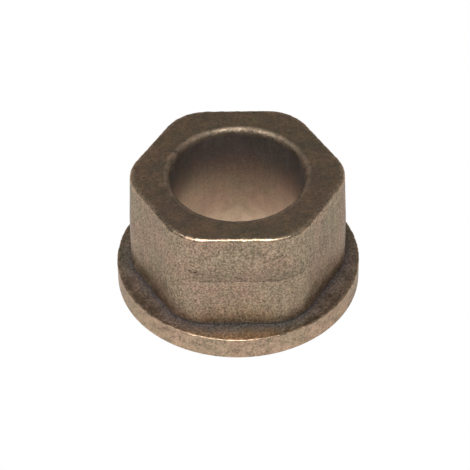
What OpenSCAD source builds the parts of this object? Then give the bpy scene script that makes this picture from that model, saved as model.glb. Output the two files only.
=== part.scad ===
// Hexagonal flanged bushing, pressed and sintered in one piece from bronze powder.
// The origin is the centre of the flange's seat, on the bore's axis, and the bore runs along +Z.
// Two of the hexagon's flats face -Y and +Y.

/* [Overall] */
// Height over all, from the flange's seat to the hexagon's end face
height = 19.2; // [16:0.1:26]

/* [Bore] */
// Diameter of the bearing bore, a running fit on a 3/4 inch (19.05 mm) shaft
bore_d = 19.1; // [16:0.05:20]
// How far each lead-in opens the bore's radius
lead_in_w = 0.75; // [0.3:0.05:1]
// How deep each lead-in runs down the bore
lead_in_h = 0.45; // [0.3:0.05:1]

/* [Hexagon] */
// Width across the flats, where the walls stand straight
hex_af = 28.6; // [27:0.1:29]
// Radius of the six upright corners
corner_r = 7; // [6:0.1:8]
// Height above the flange's seat at which the walls start to lean inward
taper_z = 11; // [7:0.1:14]
// How far each wall has leant inward by the height of the end face
taper_in = 0.3; // [0.1:0.05:0.6]
// Rounding of the edge round the end face
top_round = 0.4; // [0.1:0.05:0.8]
// Radius of the fillet between the hexagon's walls and the flange
foot_fillet = 0.3; // [0.2:0.05:0.8]

/* [Flange] */
// Diameter of the round flange
flange_d = 34.925; // [34.5:0.025:44]
// Thickness of the flange
flange_t = 3.4; // [2:0.1:5]
// Rounding of the flange's upper and lower edges
flange_round = 0.2; // [0.1:0.05:0.5]

/* [Hidden] */
$fn = 96;

bore_r = bore_d / 2;
flange_r = flange_d / 2;
// The fillet's arc runs this far into the wall and the flange, and meets each at the die's fine parting line
foot_sink = 0.01;
// The fillet's centre, from a corner's centre and from the flange's seat
fillet_x = corner_r - foot_sink + foot_fillet;
fillet_z = flange_t - foot_sink + foot_fillet;
// The corners' centres stand on a smaller hexagon, inside the walls
core_half = hex_af / 2 - corner_r;
core_side = core_half / cos(30);
// Lean of the walls above taper_z
lean = atan(taper_in / (height - taper_z));
// The rounded edge's centre, set so that its arc runs smoothly into the leaning wall
round_z = height - top_round;
round_x = (corner_r * cos(lean) - (round_z - taper_z) * sin(lean) - top_round) / cos(lean);
// How far the core reaches into the walls and corners round it, so that they join as one body
core_lap = 3;
// Each corner stands this far proud, so that its round crosses the walls beside it
corner_out = 0.02;
// Angle by which each corner runs on into those walls
corner_lap = 8;
// Cutting tools run this far past the faces that they cut
past = 1;

module bushing() {
    color([0.49, 0.42, 0.34])
        difference() {
            union() {
                flange();
                hexagon();
            }
            bore();
        }
}

// The round flange, with both of its outer edges rounded
module flange() {
    rotate_extrude()
        union() {
            square([flange_r - flange_round, flange_t]);
            translate([0, flange_round])
                square([flange_r, flange_t - 2 * flange_round]);
            for (z = [flange_round, flange_t - flange_round])
                translate([flange_r - flange_round, z])
                    circle(flange_round);
        }
}

// The hexagon stands through the flange: its wall's section is carried along
// the six flats and turned round the six corners
module hexagon() {
    linear_extrude(height)
        circle(core_side + core_lap, $fn = 6);
    for (turn = [0 : 60 : 300]) {
        rotate(turn + 30)
            translate([core_half, 0, 0])
                rotate([90, 0, 0])
                    linear_extrude(core_side, center = true)
                        wall_section();
        rotate(turn)
            translate([core_side + corner_out, 0, 0])
                rotate(-30 - corner_lap)
                    rotate_extrude(angle = 60 + 2 * corner_lap)
                        wall_section();
    }
}

// Half of the hexagon's section beyond its core: a straight wall that leans inward
// above taper_z, a rounded upper edge and a hollow fillet at the foot
module wall_section() {
    union() {
        polygon([
            [0, 0],
            [corner_r, 0],
            [corner_r, taper_z],
            [round_x + top_round * cos(lean), round_z + top_round * sin(lean)],
            [round_x, round_z],
            [round_x, height],
            [0, height]
        ]);
        translate([round_x, round_z])
            circle(top_round);
        difference() {
            square([fillet_x, fillet_z]);
            translate([fillet_x, fillet_z])
                circle(foot_fillet);
        }
    }
}

// The bore, with a lead-in at each end for the shaft
module bore() {
    mouth_r = bore_r + lead_in_w * (1 + past / lead_in_h);
    rotate_extrude()
        polygon([
            [0, -past],
            [mouth_r, -past],
            [bore_r, lead_in_h],
            [bore_r, height - lead_in_h],
            [mouth_r, height + past],
            [0, height + past]
        ]);
}

bushing();
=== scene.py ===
import bpy, bmesh, math
from mathutils import Matrix, Vector, noise


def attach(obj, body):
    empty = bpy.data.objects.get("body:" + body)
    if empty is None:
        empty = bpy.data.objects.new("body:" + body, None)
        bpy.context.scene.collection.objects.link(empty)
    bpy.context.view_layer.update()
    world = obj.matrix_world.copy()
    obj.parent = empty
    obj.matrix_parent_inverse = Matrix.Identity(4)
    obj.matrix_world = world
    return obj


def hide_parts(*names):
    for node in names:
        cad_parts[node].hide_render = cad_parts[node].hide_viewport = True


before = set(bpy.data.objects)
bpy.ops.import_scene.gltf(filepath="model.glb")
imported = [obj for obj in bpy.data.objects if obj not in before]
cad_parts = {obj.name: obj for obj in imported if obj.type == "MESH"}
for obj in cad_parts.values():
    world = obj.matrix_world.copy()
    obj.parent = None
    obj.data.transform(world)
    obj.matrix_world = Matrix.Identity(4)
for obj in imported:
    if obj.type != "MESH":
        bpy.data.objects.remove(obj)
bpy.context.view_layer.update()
print("frame loaded:", sorted(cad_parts))

mm = 0.001

# camera: placed first, it never depends on the pieces
camera = {
    "azimuth": -0.092,     # degrees round from straight ahead
    "elevation": 42.4,
    "distance": 376.8,     # mm from the point looked at
    "lookAt": (-0.417, 0.0, 7.482),
    "roll": -0.6,
    "lens": 201.0,
}


def placeCamera(values):
    azimuth, elevation = math.radians(values["azimuth"]), math.radians(values["elevation"])
    back = Vector((
        math.sin(azimuth) * math.cos(elevation),
        -math.cos(azimuth) * math.cos(elevation),
        math.sin(elevation),
    ))
    data = bpy.data.cameras.new("camera")
    data.lens = values["lens"]
    data.sensor_width = 36
    data.clip_start, data.clip_end = 0.01, 20
    made = bpy.data.objects.new("camera", data)
    bpy.context.scene.collection.objects.link(made)
    made.rotation_mode = "QUATERNION"
    made.location = Vector(values["lookAt"]) * mm + back * values["distance"] * mm
    roll = Matrix.Rotation(math.radians(values["roll"]), 3, "Z")
    turn = (-back).to_track_quat("-Z", "Y").to_matrix() @ roll
    made.rotation_quaternion = turn.to_quaternion()
    bpy.context.scene.camera = made


placeCamera(camera)
print("camera placed")

# the bushing: one ring of points carried through every stage of its section
bushing = {     # mm
    "height": 19.2, "boreRadius": 9.55, "leadInWidth": 0.75, "leadInDepth": 0.75,
    "halfFlats": 14.3, "cornerRadius": 7.0, "topRound": 0.56, "footFillet": 0.16,
    "leanStart": 11.0, "leanIn": 0.3, "dieLine": 11.8,
    "flangeRadius": 17.4625, "flangeThick": 3.4, "flangeRound": 0.2,
}

# how many points go round, and how many rings each stretch of the section gets
rings = {
    "around": 480, "under": 8, "rimFoot": 4, "rim": 12, "rimTop": 5, "seat": 13, "fillet": 6,
    "straight": 28, "leaning": 31, "edge": 9, "face": 15, "mouth": 7, "bore": 38, "boreFoot": 3,
}

# unevenness left by pressing and handling: its size and spacing in mm
uneven = {
    "edgeRipple": 0.08, "edgeSpacing": 0.55,
    "mouthRipple": 0.05, "mouthSpacing": 0.45, "mouthBulge": 0.19,
    "wallRipple": 0.012, "wallSpacing": 3.2,
    "lineDepth": 0.03, "lineSpacing": 9.0, "lineSeed": 102,
}

# how far the painted shade, the wear and the bore's painted light reach from where they start, in mm
reach = {
    "footShade": 1.6, "creaseShade": 0.7, "seatShade": 3.2, "boreShade": 13.5,
    "wallWorn": 0.75, "faceWorn": 0.6, "rimWorn": 0.6, "seatWorn": 0.5, "boreLightReach": 5.0,
    "lineBand": 3.2, "scratch": 0.22,
}


def hexRadius(angle, grow):
    # distance from the axis to the rounded hexagon, its walls moved out by grow
    half, corner = bushing["halfFlats"] + grow, bushing["cornerRadius"] + grow
    centre = (bushing["halfFlats"] - bushing["cornerRadius"]) / math.cos(math.radians(30))
    off = abs((math.degrees(angle) + 30) % 60 - 30)
    tangent = math.degrees(math.atan2(corner * 0.5, centre + corner * math.cos(math.radians(30))))
    if off > tangent:
        return half / math.cos(math.radians(30 - off))
    off = math.radians(off)
    return centre * math.cos(off) + math.sqrt(corner ** 2 - (centre * math.sin(off)) ** 2)


def roundStage(radius, z):
    return lambda angle: (radius, z)


def hexStage(grow, z):
    return lambda angle: (hexRadius(angle, grow), z)


def betweenStage(first, second, share):
    def place(angle):
        (ra, za), (rb, zb) = first(angle), second(angle)
        return ra + (rb - ra) * share, za + (zb - za) * share
    return place


def spread(first, second, steps):
    # stages evenly between two, leaving out both ends
    return [betweenStage(first, second, i / steps) for i in range(1, steps)]


def sectionStages():
    # each stage is the name of its stretch of surface and its place at any angle
    top, seat, rim = bushing["height"], bushing["flangeThick"], bushing["flangeRadius"]
    rimRound, topRound, fillet = bushing["flangeRound"], bushing["topRound"], bushing["footFillet"]
    mouth = bushing["boreRadius"] + bushing["leadInWidth"]
    stages = []

    def add(zone, places):
        stages.extend((zone, place) for place in places)

    def arc(make, centre, z, radius, start, end, steps):
        turns = [math.radians(start + (end - start) * i / steps) for i in range(steps + 1)]
        return [make(centre + radius * math.cos(a), z + radius * math.sin(a)) for a in turns]

    add("under", [roundStage(mouth, 0)])
    add("under", spread(roundStage(mouth, 0), roundStage(rim - rimRound, 0), rings["under"]))
    add("rim", arc(roundStage, rim - rimRound, rimRound, rimRound, -90, 0, rings["rimFoot"]))
    add("rim", spread(roundStage(rim, rimRound), roundStage(rim, seat - rimRound), rings["rim"]))
    add("rim", arc(roundStage, rim - rimRound, seat - rimRound, rimRound, 0, 90, rings["rimTop"]))
    add("seat", spread(roundStage(rim - rimRound, seat), hexStage(fillet, seat), rings["seat"]))
    add("wall", arc(hexStage, fillet, seat + fillet, fillet, 270, 180, rings["fillet"]))

    # the walls stand straight, then lean in to the rounded edge, with the die's line a little way up
    start = bushing["leanStart"]
    lean = math.atan(bushing["leanIn"] / (top - start))
    inset = -((top - topRound - start) * math.sin(lean) + topRound) / math.cos(lean)
    leanFoot = hexStage(0, start)
    leanTop = hexStage(inset + topRound * math.cos(lean), top - topRound + topRound * math.sin(lean))
    add("wall", spread(hexStage(0, seat + fillet), leanFoot, rings["straight"]))
    add("wall", [leanFoot])

    def leaning(z):
        return betweenStage(leanFoot, leanTop, (z - start) / (leanTop(0)[1] - start))

    line = bushing["dieLine"]
    add("wall", [leaning(line + step) for step in (-0.5, -0.25, -0.14, -0.08)])
    add("line", [leaning(line + step) for step in (-0.03, 0.03)])
    add("wall", [leaning(line + step) for step in (0.08, 0.12)])
    add("wall", spread(leaning(line + 0.12), leanTop, rings["leaning"]))
    add("edge", arc(hexStage, inset, top - topRound, topRound, math.degrees(lean), 90, rings["edge"]))

    mouthTop = roundStage(mouth, top)
    boreTop = roundStage(bushing["boreRadius"], top - bushing["leadInDepth"])
    boreFoot = roundStage(bushing["boreRadius"], bushing["leadInDepth"])
    add("face", spread(hexStage(inset, top), mouthTop, rings["face"]))
    add("mouth", [mouthTop] + spread(mouthTop, boreTop, rings["mouth"]) + [boreTop])
    add("bore", spread(boreTop, boreFoot, rings["bore"]))
    add("bore", [boreFoot] + spread(boreFoot, roundStage(mouth, 0), rings["boreFoot"]))
    return stages


def ripple(angle, z, radius, spacing, seed):
    # smooth noise at one place of the surface; each seed gives a ripple of its own
    place = Vector((radius * math.cos(angle), radius * math.sin(angle), z)) / spacing
    return noise.noise(place + Vector((seed, seed * 0.7, 0)))


def near(distance, farthest):
    # 1 at the place itself, falling smoothly to 0 at the farthest
    share = max(0.0, 1 - abs(distance) / farthest)
    return share * share * (3 - 2 * share)


def lineShows(angle):
    # the die's line comes and goes round the walls
    here = ripple(angle, bushing["dieLine"], 15, uneven["lineSpacing"], uneven["lineSeed"])
    return min(1.0, max(0.1, 5 * here))


def unevenPlace(zone, angle, radius, z):
    # the true place with the part's slight unevenness added
    top, seat, rim = bushing["height"], bushing["flangeThick"], bushing["flangeRadius"]
    size, spacing = uneven["edgeRipple"], uneven["edgeSpacing"]
    if zone in ("wall", "line", "edge", "face"):
        hexEdge = near(z - top, 1.0) * near(radius - hexRadius(angle, 0), 1.6)
        radius += hexEdge * size * ripple(angle, z, radius, spacing, seed=3)
        z += hexEdge * size * 0.7 * ripple(angle, z, radius, spacing * 1.4, seed=9)
    if zone in ("wall", "line"):
        calm = near(z - (top + seat) / 2, (top - seat) / 2)
        radius += calm * uneven["wallRipple"] * ripple(angle, z, radius, uneven["wallSpacing"], seed=15)
    if zone == "line":
        radius -= uneven["lineDepth"] * lineShows(angle)
    if zone in ("rim", "seat"):
        rimEdge = near(z - seat, 0.8) * near(radius - rim, 0.9)
        radius += rimEdge * size * ripple(angle, z, radius, spacing, seed=27)
        z += rimEdge * size * 0.8 * ripple(angle, z, radius, spacing * 1.3, seed=33)
    if zone == "mouth":
        # the lead-in is worn round, and is not quite even
        share = (top - z) / bushing["leadInDepth"]
        radius += uneven["mouthRipple"] * ripple(angle, z, radius, uneven["mouthSpacing"], seed=39)
        bulge = 4 * share * (1 - share) * uneven["mouthBulge"] * math.sqrt(0.5)
        radius, z = radius - bulge, z + bulge
    return radius, z


# small scratches across the front flat: both ends, across and up, in mm
scratches = [
    {"start": (-6.9, 13.5), "end": (-5.4, 12.9)},
    {"start": (-5.9, 13.5), "end": (-4.5, 13.0)},
    {"start": (-6.3, 12.4), "end": (-5.2, 12.15)},
    {"start": (4.2, 15.3), "end": (6.0, 16.2)},
]


def scratched(angle, radius, z):
    # 1 along a scratch, 0 away from it, and nothing at the back
    if math.sin(angle) > 0:
        return 0.0
    deepest = 0.0
    for scratch in scratches:
        start, end = Vector(scratch["start"]), Vector(scratch["end"])
        here = Vector((radius * math.cos(angle), z))
        along = min(1.0, max(0.0, (here - start).dot(end - start) / (end - start).length_squared))
        deepest = max(deepest, near((here - start.lerp(end, along)).length, reach["scratch"]))
    return deepest


maskNames = ("paintedShade", "wearAndBoreLight", "corner", "pressed", "line")


def surfaceMasks(zone, angle, radius, z):
    # how strong each mark is at one place: mostly 0 to 1, and more where it overrules the grain
    top, seat, rim = bushing["height"], bushing["flangeThick"], bushing["flangeRadius"]
    gap = radius - hexRadius(angle, 0)
    cornerWear = 0.2 + 0.8 * near((math.degrees(angle) + 30) % 60 - 30, 30)
    masks = {"paintedShade": 0.0, "wearAndBoreLight": 0.0, "corner": 1.0, "pressed": 0.0, "line": 0.0}
    if zone in ("wall", "line", "edge"):
        # painted shade: darker at the wall's foot, most of all in the crease by the seat
        masks["paintedShade"] = 0.6 * near(z - seat, reach["footShade"]) + 0.6 * near(z - seat, reach["creaseShade"])
        masks["wearAndBoreLight"], masks["corner"] = near(z - (top - 0.15), reach["wallWorn"]), cornerWear
        above = z - bushing["dieLine"]
        if zone == "line":
            masks["line"] = 3.0 * lineShows(angle)
        elif above > 0:
            masks["line"] = near(above, reach["lineBand"]) * (0.3 + 0.7 * lineShows(angle))
        masks["line"] = max(masks["line"], 2.4 * scratched(angle, radius, z))
    elif zone == "seat":
        # painted shade: the seat darker near the wall
        masks["paintedShade"] = 0.8 * near(gap, reach["seatShade"])
        masks["wearAndBoreLight"] = near(radius - rim, reach["seatWorn"])
        masks["pressed"] = 0.1
    elif zone == "rim":
        masks["wearAndBoreLight"] = max(0.45, 0.8 * near(z - seat, reach["rimWorn"]))
    elif zone == "face":
        masks["wearAndBoreLight"], masks["corner"] = near(gap + 0.45, reach["faceWorn"]), cornerWear
        masks["pressed"] = 1.0
    elif zone == "mouth":
        # painted shade on the lead-in
        masks["pressed"], masks["wearAndBoreLight"], masks["paintedShade"] = 0.9, 0.25, 0.55
    elif zone == "bore":
        # painted shade: the bore darker from its top down
        masks["paintedShade"] = 1.15 * near(z - top, reach["boreShade"])
        # painted light: the bore lighter towards its bottom end
        masks["wearAndBoreLight"] = near(z - 1.0, reach["boreLightReach"])
    return masks


def carryRing(stages):
    # extrudes one ring through all the stages and joins the last to the first
    made = bmesh.new()
    bmesh.ops.create_circle(made, cap_ends=False, radius=1, segments=rings["around"])
    layers = {name: made.verts.layers.float.new(name) for name in maskNames}
    ring = list(made.verts)
    edges = list(made.edges)
    firstEdges = edges

    def shape(points, zone, place):
        for point in points:
            angle = math.atan2(point.co.y, point.co.x)
            radius, z = place(angle)
            masks = surfaceMasks(zone, angle, radius, z)
            radius, z = unevenPlace(zone, angle, radius, z)
            point.co = Vector((radius * math.cos(angle), radius * math.sin(angle), z)) * mm
            for name, layer in layers.items():
                point[layer] = masks[name]

    shape(ring, *stages[0])
    for zone, place in stages[1:]:
        grown = bmesh.ops.extrude_edge_only(made, edges=edges)["geom"]
        ring = [g for g in grown if isinstance(g, bmesh.types.BMVert)]
        for face in grown:
            if isinstance(face, bmesh.types.BMFace):
                face.material_index = 1 if zone == "bore" else 0     # the second material
        edges = [g for g in grown if isinstance(g, bmesh.types.BMEdge) and len(g.link_faces) == 1]
        shape(ring, zone, place)
    bmesh.ops.bridge_loops(made, edges=firstEdges + edges)
    bmesh.ops.recalc_face_normals(made, faces=made.faces)
    return made


def finishPiece(made, name, *materials):
    mesh = bpy.data.meshes.new(name)
    made.to_mesh(mesh)
    made.free()
    for face in mesh.polygons:
        face.use_smooth = True
    for material in materials:
        mesh.materials.append(material)
    piece = bpy.data.objects.new(name, mesh)
    bpy.context.scene.collection.objects.link(piece)
    return piece


# materials: small helpers, two shared effects, then the bronze itself
def addNode(tree, kind, **settings):
    made = tree.nodes.new(kind)
    for name, value in settings.items():
        setattr(made, name, value)
    return made


def plug(tree, source, socket):
    # links a socket, or sets a plain value
    if isinstance(source, bpy.types.NodeSocket):
        tree.links.new(source, socket)
    else:
        socket.default_value = source


def maths(tree, operation, first, second=0.5, third=0.5, clamp=False):
    made = addNode(tree, "ShaderNodeMath", operation=operation, use_clamp=clamp)
    for socket, source in zip(made.inputs, (first, second, third)):
        plug(tree, source, socket)
    return made.outputs[0]


def fromTo(tree, value, low, high, toLow=0.0, toHigh=1.0):
    made = addNode(tree, "ShaderNodeMapRange", interpolation_type="SMOOTHSTEP")
    sources = {"Value": value, "From Min": low, "From Max": high, "To Min": toLow, "To Max": toHigh}
    for name, source in sources.items():
        plug(tree, source, made.inputs[name])
    return made.outputs[0]


def blend(tree, share, first, second, kind="MIX"):
    made = addNode(tree, "ShaderNodeMix", data_type="RGBA", blend_type=kind)
    plug(tree, share, made.inputs["Factor"])
    plug(tree, first, made.inputs[6])
    plug(tree, second, made.inputs[7])
    return made.outputs[2]


def cloud(tree, vector, scale, detail=2.0, rough=0.5):
    made = addNode(tree, "ShaderNodeTexNoise")
    plug(tree, vector, made.inputs["Vector"])
    made.inputs["Scale"].default_value = scale
    made.inputs["Detail"].default_value = detail
    made.inputs["Roughness"].default_value = rough
    return made.outputs[0]


def makeGroup(name, takes, gives):
    tree = bpy.data.node_groups.new(name, "ShaderNodeTree")
    for socket, kind, value in takes:
        made = tree.interface.new_socket(socket, in_out="INPUT", socket_type=kind)
        if value is not None:
            made.default_value = value
    for socket, kind in gives:
        tree.interface.new_socket(socket, in_out="OUTPUT", socket_type=kind)
    return tree, tree.nodes.new("NodeGroupInput").outputs, tree.nodes.new("NodeGroupOutput").inputs


def useGroup(tree, group, **sources):
    made = addNode(tree, "ShaderNodeGroup", node_tree=group)
    for name, source in sources.items():
        plug(tree, source, made.inputs[name])
    return made.outputs


def attribute(tree, name):
    return addNode(tree, "ShaderNodeAttribute", attribute_name=name).outputs["Fac"]


# noise scales, in cells for each metre, and how far the streaks are drawn out along the axis
texture = {
    "grain": 3300, "drift": 520, "tint": 900, "wide": 190, "pore": 1500,
    "streak": 1900, "streakDrawn": 0.07,
    "tintMoved": (0.3, 0.7, 0.1),       # so that the tint doesn't follow the drift
}


def grainGroup():
    # pressed powder: fine grain, open pores, and slow drifts of tone and tint
    tree, takes, gives = makeGroup(
        "sinterGrain",
        [("Vector", "NodeSocketVector", None), ("Pores", "NodeSocketFloat", 1.0)],
        [("Grain", "NodeSocketFloat"), ("Pits", "NodeSocketFloat"), ("Drift", "NodeSocketFloat"),
         ("Tint", "NodeSocketFloat"), ("Wide", "NodeSocketFloat"), ("Height", "NodeSocketFloat")],
    )
    grain = cloud(tree, takes["Vector"], texture["grain"], 3, 0.7)
    drift = cloud(tree, takes["Vector"], texture["drift"], 3, 0.6)
    moved = addNode(tree, "ShaderNodeVectorMath", operation="ADD")
    plug(tree, takes["Vector"], moved.inputs[0])
    moved.inputs[1].default_value = texture["tintMoved"]
    tint = cloud(tree, moved.outputs[0], texture["tint"], 2, 0.55)
    cells = addNode(tree, "ShaderNodeTexVoronoi", feature="F1")
    plug(tree, takes["Vector"], cells.inputs["Vector"])
    cells.inputs["Scale"].default_value = texture["pore"]
    pits = fromTo(tree, cells.outputs["Distance"], 0.12, 0.3, 1.0, 0.0)
    pits = maths(tree, "MULTIPLY", pits, fromTo(tree, drift, 0.42, 0.62))
    pits = maths(tree, "MULTIPLY", pits, takes["Pores"])
    tree.links.new(grain, gives["Grain"])
    tree.links.new(pits, gives["Pits"])
    tree.links.new(drift, gives["Drift"])
    tree.links.new(tint, gives["Tint"])
    tree.links.new(cloud(tree, moved.outputs[0], texture["wide"], 2, 0.5), gives["Wide"])
    tree.links.new(maths(tree, "SUBTRACT", grain, maths(tree, "MULTIPLY", pits, 0.8)), gives["Height"])
    return tree


def streakGroup():
    # fine lines left along the axis by the die and the core rod
    tree, takes, gives = makeGroup(
        "dieStreaks", [("Vector", "NodeSocketVector", None)], [("Streaks", "NodeSocketFloat")],
    )
    drawn = addNode(tree, "ShaderNodeVectorMath", operation="MULTIPLY")
    plug(tree, takes["Vector"], drawn.inputs[0])
    drawn.inputs[1].default_value = (1, 1, texture["streakDrawn"])
    tree.links.new(cloud(tree, drawn.outputs[0], texture["streak"], 2, 0.6), gives["Streaks"])
    return tree


bronze = {
    "body": (0.285, 0.218, 0.150, 1), "rosy": (0.330, 0.222, 0.165, 1), "grey": (0.275, 0.226, 0.155, 1),
    # the last colour on the next line is a painted shade colour
    "band": (0.47, 0.47, 0.49, 1), "film": (0.84, 0.72, 0.62, 1), "paintedShade": (0.48, 0.54, 0.70, 1),
    # the last two colours on the next line are painted light in the bore
    "bare": (0.54, 0.38, 0.26, 1), "bearing": (1.22, 1.17, 1.14, 1), "paintedBoreLight": (0.62, 0.50, 0.37, 1),
    "glance": (0.70, 0.68, 0.66, 1),    # tint of the reflections seen at a slant
    "drawnFrom": (3.31, 0.3, 0.23),     # where in the noise this bushing is cut from, in metres
}

# the finish of the pressed outside, and of the bore that the shaft turns in
outside = {
    "grainDepth": 0.90, "pressedDepth": -0.58, "streakDepth": 0.09, "pores": 1.0,
    "smoothest": 0.37, "roughest": 0.47, "paintedShadeRough": 0.4, "wornRough": -0.03, "bump": 0.55,
}
bearing = {
    "grainDepth": 0.24, "streakDepth": 0.04, "pores": 0.1,
    "smoothest": 0.44, "roughest": 0.52, "paintedShadeRough": 0.15, "bump": 0.2,
}
bumpHeight = 0.00004    # metres


def startMaterial(name):
    material = bpy.data.materials.new(name)
    material.use_nodes = True
    tree = material.node_tree
    place = addNode(tree, "ShaderNodeVectorMath", operation="ADD")
    plug(tree, addNode(tree, "ShaderNodeTexCoord").outputs["Object"], place.inputs[0])
    place.inputs[1].default_value = bronze["drawnFrom"]
    shader = tree.nodes["Principled BSDF"]
    shader.inputs["Metallic"].default_value = 1
    return material, tree, shader, place.outputs[0]


def darken(tree, share, colour, film):
    # a see-through film over a share of the colour
    return blend(tree, share, colour, blend(tree, 1.0, colour, film, "MULTIPLY"))


def bodyColour(tree, grain, streaks, depth, streakDepth):
    # drifts between rosy and greenish grey, lighter and darker with the grain
    wide = maths(tree, "MULTIPLY", grain["Wide"], 0.9)
    tint = maths(tree, "ADD", maths(tree, "MULTIPLY", grain["Tint"], 0.5), wide)
    colour = blend(tree, fromTo(tree, tint, 0.5, 0.9), bronze["grey"], bronze["rosy"])
    colour = blend(tree, 0.4, colour, bronze["body"])
    either = maths(tree, "SUBTRACT", fromTo(tree, grain["Grain"], 0.32, 0.68), 0.5)
    tone = maths(tree, "MULTIPLY_ADD", either, depth, 1.0)
    drift = fromTo(tree, grain["Drift"], 0.3, 0.7, 0.88, 1.12)
    lines = fromTo(tree, streaks["Streaks"], 0.3, 0.7, 1 - streakDepth, 1 + streakDepth)
    pits = fromTo(tree, grain["Pits"], 0, 1, 1.0, 0.55)
    for factor in (drift, lines, pits):
        tone = maths(tree, "MULTIPLY", tone, factor)
    lightness = addNode(tree, "ShaderNodeCombineColor")
    for socket in lightness.inputs:
        tree.links.new(tone, socket)
    return blend(tree, 1.0, colour, lightness.outputs[0], "MULTIPLY")


def paintedShadeShare(tree, grain):
    # painted shade, spread with a ragged edge
    ragged = maths(tree, "MULTIPLY_ADD", grain["Drift"], 0.7, -0.35)
    return fromTo(tree, maths(tree, "ADD", attribute(tree, "paintedShade"), ragged), 0.1, 1.1)


def addBump(tree, shader, grain, streaks, strength):
    # the grain and the streaks stand up a little
    bump = addNode(tree, "ShaderNodeBump")
    bump.inputs["Strength"].default_value = strength
    bump.inputs["Distance"].default_value = bumpHeight
    height = maths(tree, "ADD", grain["Height"], maths(tree, "MULTIPLY", streaks["Streaks"], 0.3))
    tree.links.new(height, bump.inputs["Height"])
    tree.links.new(bump.outputs["Normal"], shader.inputs["Normal"])


def pressedBronze(grainTree, streakTree):
    material, tree, shader, place = startMaterial("pressedBronze")
    wearAndBoreLight, corner, pressed, line = [attribute(tree, name) for name in ("wearAndBoreLight", "corner", "pressed", "line")]
    grain = useGroup(tree, grainTree, Vector=place, Pores=outside["pores"])
    streaks = useGroup(tree, streakTree, Vector=place)
    depth = maths(tree, "MULTIPLY_ADD", pressed, outside["pressedDepth"], outside["grainDepth"])
    colour = bodyColour(tree, grain, streaks, depth, outside["streakDepth"])

    # a darker, patchy band above the die's line, and the scratches
    band = maths(tree, "MULTIPLY", line, fromTo(tree, grain["Drift"], 0.35, 0.6, 0.15, 0.6), clamp=True)
    colour = darken(tree, band, colour, bronze["band"])

    # dark film on the pressed faces
    film = maths(tree, "MULTIPLY", pressed, fromTo(tree, grain["Drift"], 0.35, 0.6, 0.0, 0.5))
    colour = darken(tree, film, colour, bronze["film"])
    # painted shade in the crease, at the wall's foot, on the seat by the wall and on the lead-in
    paintedShade = paintedShadeShare(tree, grain)
    colour = darken(tree, paintedShade, colour, bronze["paintedShade"])

    # bare metal where the edges rub, most of all at the corners
    rubbed = maths(tree, "MULTIPLY", wearAndBoreLight, corner)
    rubbed = maths(tree, "MULTIPLY", rubbed, fromTo(tree, grain["Tint"], 0.3, 0.7))
    colour = blend(tree, rubbed, colour, bronze["bare"])
    tree.links.new(colour, shader.inputs["Base Color"])
    shader.inputs["Specular Tint"].default_value = bronze["glance"]

    rough = fromTo(tree, grain["Drift"], 0.3, 0.7, outside["smoothest"], outside["roughest"])
    rough = maths(tree, "MULTIPLY_ADD", paintedShade, outside["paintedShadeRough"], rough)
    rough = maths(tree, "MULTIPLY_ADD", wearAndBoreLight, outside["wornRough"], rough)
    tree.links.new(rough, shader.inputs["Roughness"])
    addBump(tree, shader, grain, streaks, outside["bump"])
    return material


def bearingBronze(grainTree, streakTree):
    # the bore is sized on a rod, which closes nearly all of its pores and evens out its grain
    material, tree, shader, place = startMaterial("bearingBronze")
    grain = useGroup(tree, grainTree, Vector=place, Pores=bearing["pores"])
    streaks = useGroup(tree, streakTree, Vector=place)
    colour = bodyColour(tree, grain, streaks, bearing["grainDepth"], bearing["streakDepth"])
    # painted light: the whole bore's colour is made lighter
    colour = blend(tree, 1.0, colour, bronze["bearing"], "MULTIPLY")

    # painted light: lighter still towards the flange's end of the bore
    patchy = fromTo(tree, grain["Drift"], 0.3, 0.7, 0.2, 0.5)
    boreLit = maths(tree, "MULTIPLY", attribute(tree, "wearAndBoreLight"), patchy)
    colour = blend(tree, boreLit, colour, bronze["paintedBoreLight"])
    # painted shade, darkest at the top of the bore
    paintedShade = paintedShadeShare(tree, grain)
    tree.links.new(darken(tree, paintedShade, colour, bronze["paintedShade"]), shader.inputs["Base Color"])
    rough = fromTo(tree, grain["Drift"], 0.3, 0.7, bearing["smoothest"], bearing["roughest"])
    rough = maths(tree, "MULTIPLY_ADD", paintedShade, bearing["paintedShadeRough"], rough)
    tree.links.new(rough, shader.inputs["Roughness"])
    addBump(tree, shader, grain, streaks, bearing["bump"])
    return material


grainTree, streakTree = grainGroup(), streakGroup()
materials = pressedBronze(grainTree, streakTree), bearingBronze(grainTree, streakTree)
piece = finishPiece(carryRing(sectionStages()), "bushing_body", *materials)
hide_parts("bushing")
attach(piece, "root")
print("bushing made:", len(piece.data.polygons), "faces")

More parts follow.
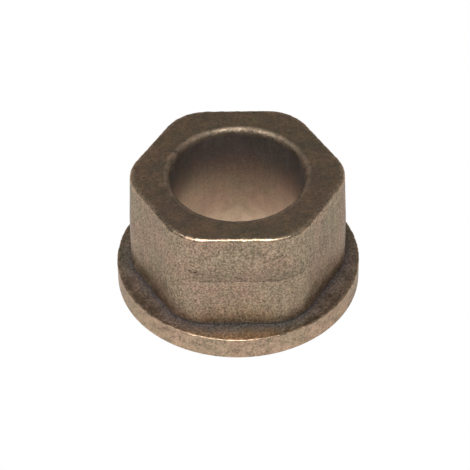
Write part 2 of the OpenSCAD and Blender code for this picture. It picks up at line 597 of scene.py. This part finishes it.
# floor and light
studio = {
    "floorSize": 6.0,
    "worldGrey": 0.22,
    "glowGrey": 0.6,       # the pale walls of the room, low round the part
    "glowTop": 0.45,       # sine of the height where that glow ends
    "keyPower": 9.0, "keyPlace": (-0.1, -0.37, 0.79), "keySize": (0.5, 0.4),
}


def makeFloor():
    made = bmesh.new()
    bmesh.ops.create_grid(made, x_segments=1, y_segments=1, size=studio["floorSize"] / 2)
    material = bpy.data.materials.new("whiteFloor")
    material.use_nodes = True
    nodes, links = material.node_tree.nodes, material.node_tree.links
    shader = nodes["Principled BSDF"]
    shader.inputs["Base Color"].default_value = (0.9, 0.9, 0.9, 1)
    shader.inputs["Roughness"].default_value = 0.9
    shader.inputs["Specular IOR Level"].default_value = 0.1
    glow = nodes.new("ShaderNodeEmission")
    glow.inputs["Color"].default_value = (1, 1, 1, 1)
    seen = nodes.new("ShaderNodeLightPath")
    mix = nodes.new("ShaderNodeMixShader")
    links.new(seen.outputs["Is Camera Ray"], mix.inputs["Fac"])
    links.new(shader.outputs["BSDF"], mix.inputs[1])
    links.new(glow.outputs["Emission"], mix.inputs[2])
    links.new(mix.outputs["Shader"], nodes["Material Output"].inputs["Surface"])
    floor = finishPiece(made, "floor", material)


def areaLight(name, place, aim, size, power):
    data = bpy.data.lights.new(name, "AREA")
    data.shape = "RECTANGLE"
    data.size, data.size_y = size
    data.energy = power
    made = bpy.data.objects.new(name, data)
    bpy.context.scene.collection.objects.link(made)
    made.location = place
    made.rotation_mode = "QUATERNION"
    made.rotation_quaternion = (Vector(aim) - Vector(place)).to_track_quat("-Z", "Y")


makeFloor()
world = bpy.data.worlds.new("studio")
bpy.context.scene.world = world
world.use_nodes = True
tree = world.node_tree
tree.nodes["Background"].inputs["Color"].default_value = (1, 1, 1, 1)
upright = addNode(tree, "ShaderNodeSeparateXYZ")
tree.links.new(addNode(tree, "ShaderNodeTexCoord").outputs["Generated"], upright.inputs[0])
glow = fromTo(tree, upright.outputs["Z"], 0.0, studio["glowTop"], studio["glowGrey"], studio["worldGrey"])
tree.links.new(glow, tree.nodes["Background"].inputs["Strength"])
areaLight("key", studio["keyPlace"], (0, 0, 0), studio["keySize"], studio["keyPower"])
bpy.context.scene.view_settings.view_transform = "Standard"
print("floor and light placed")
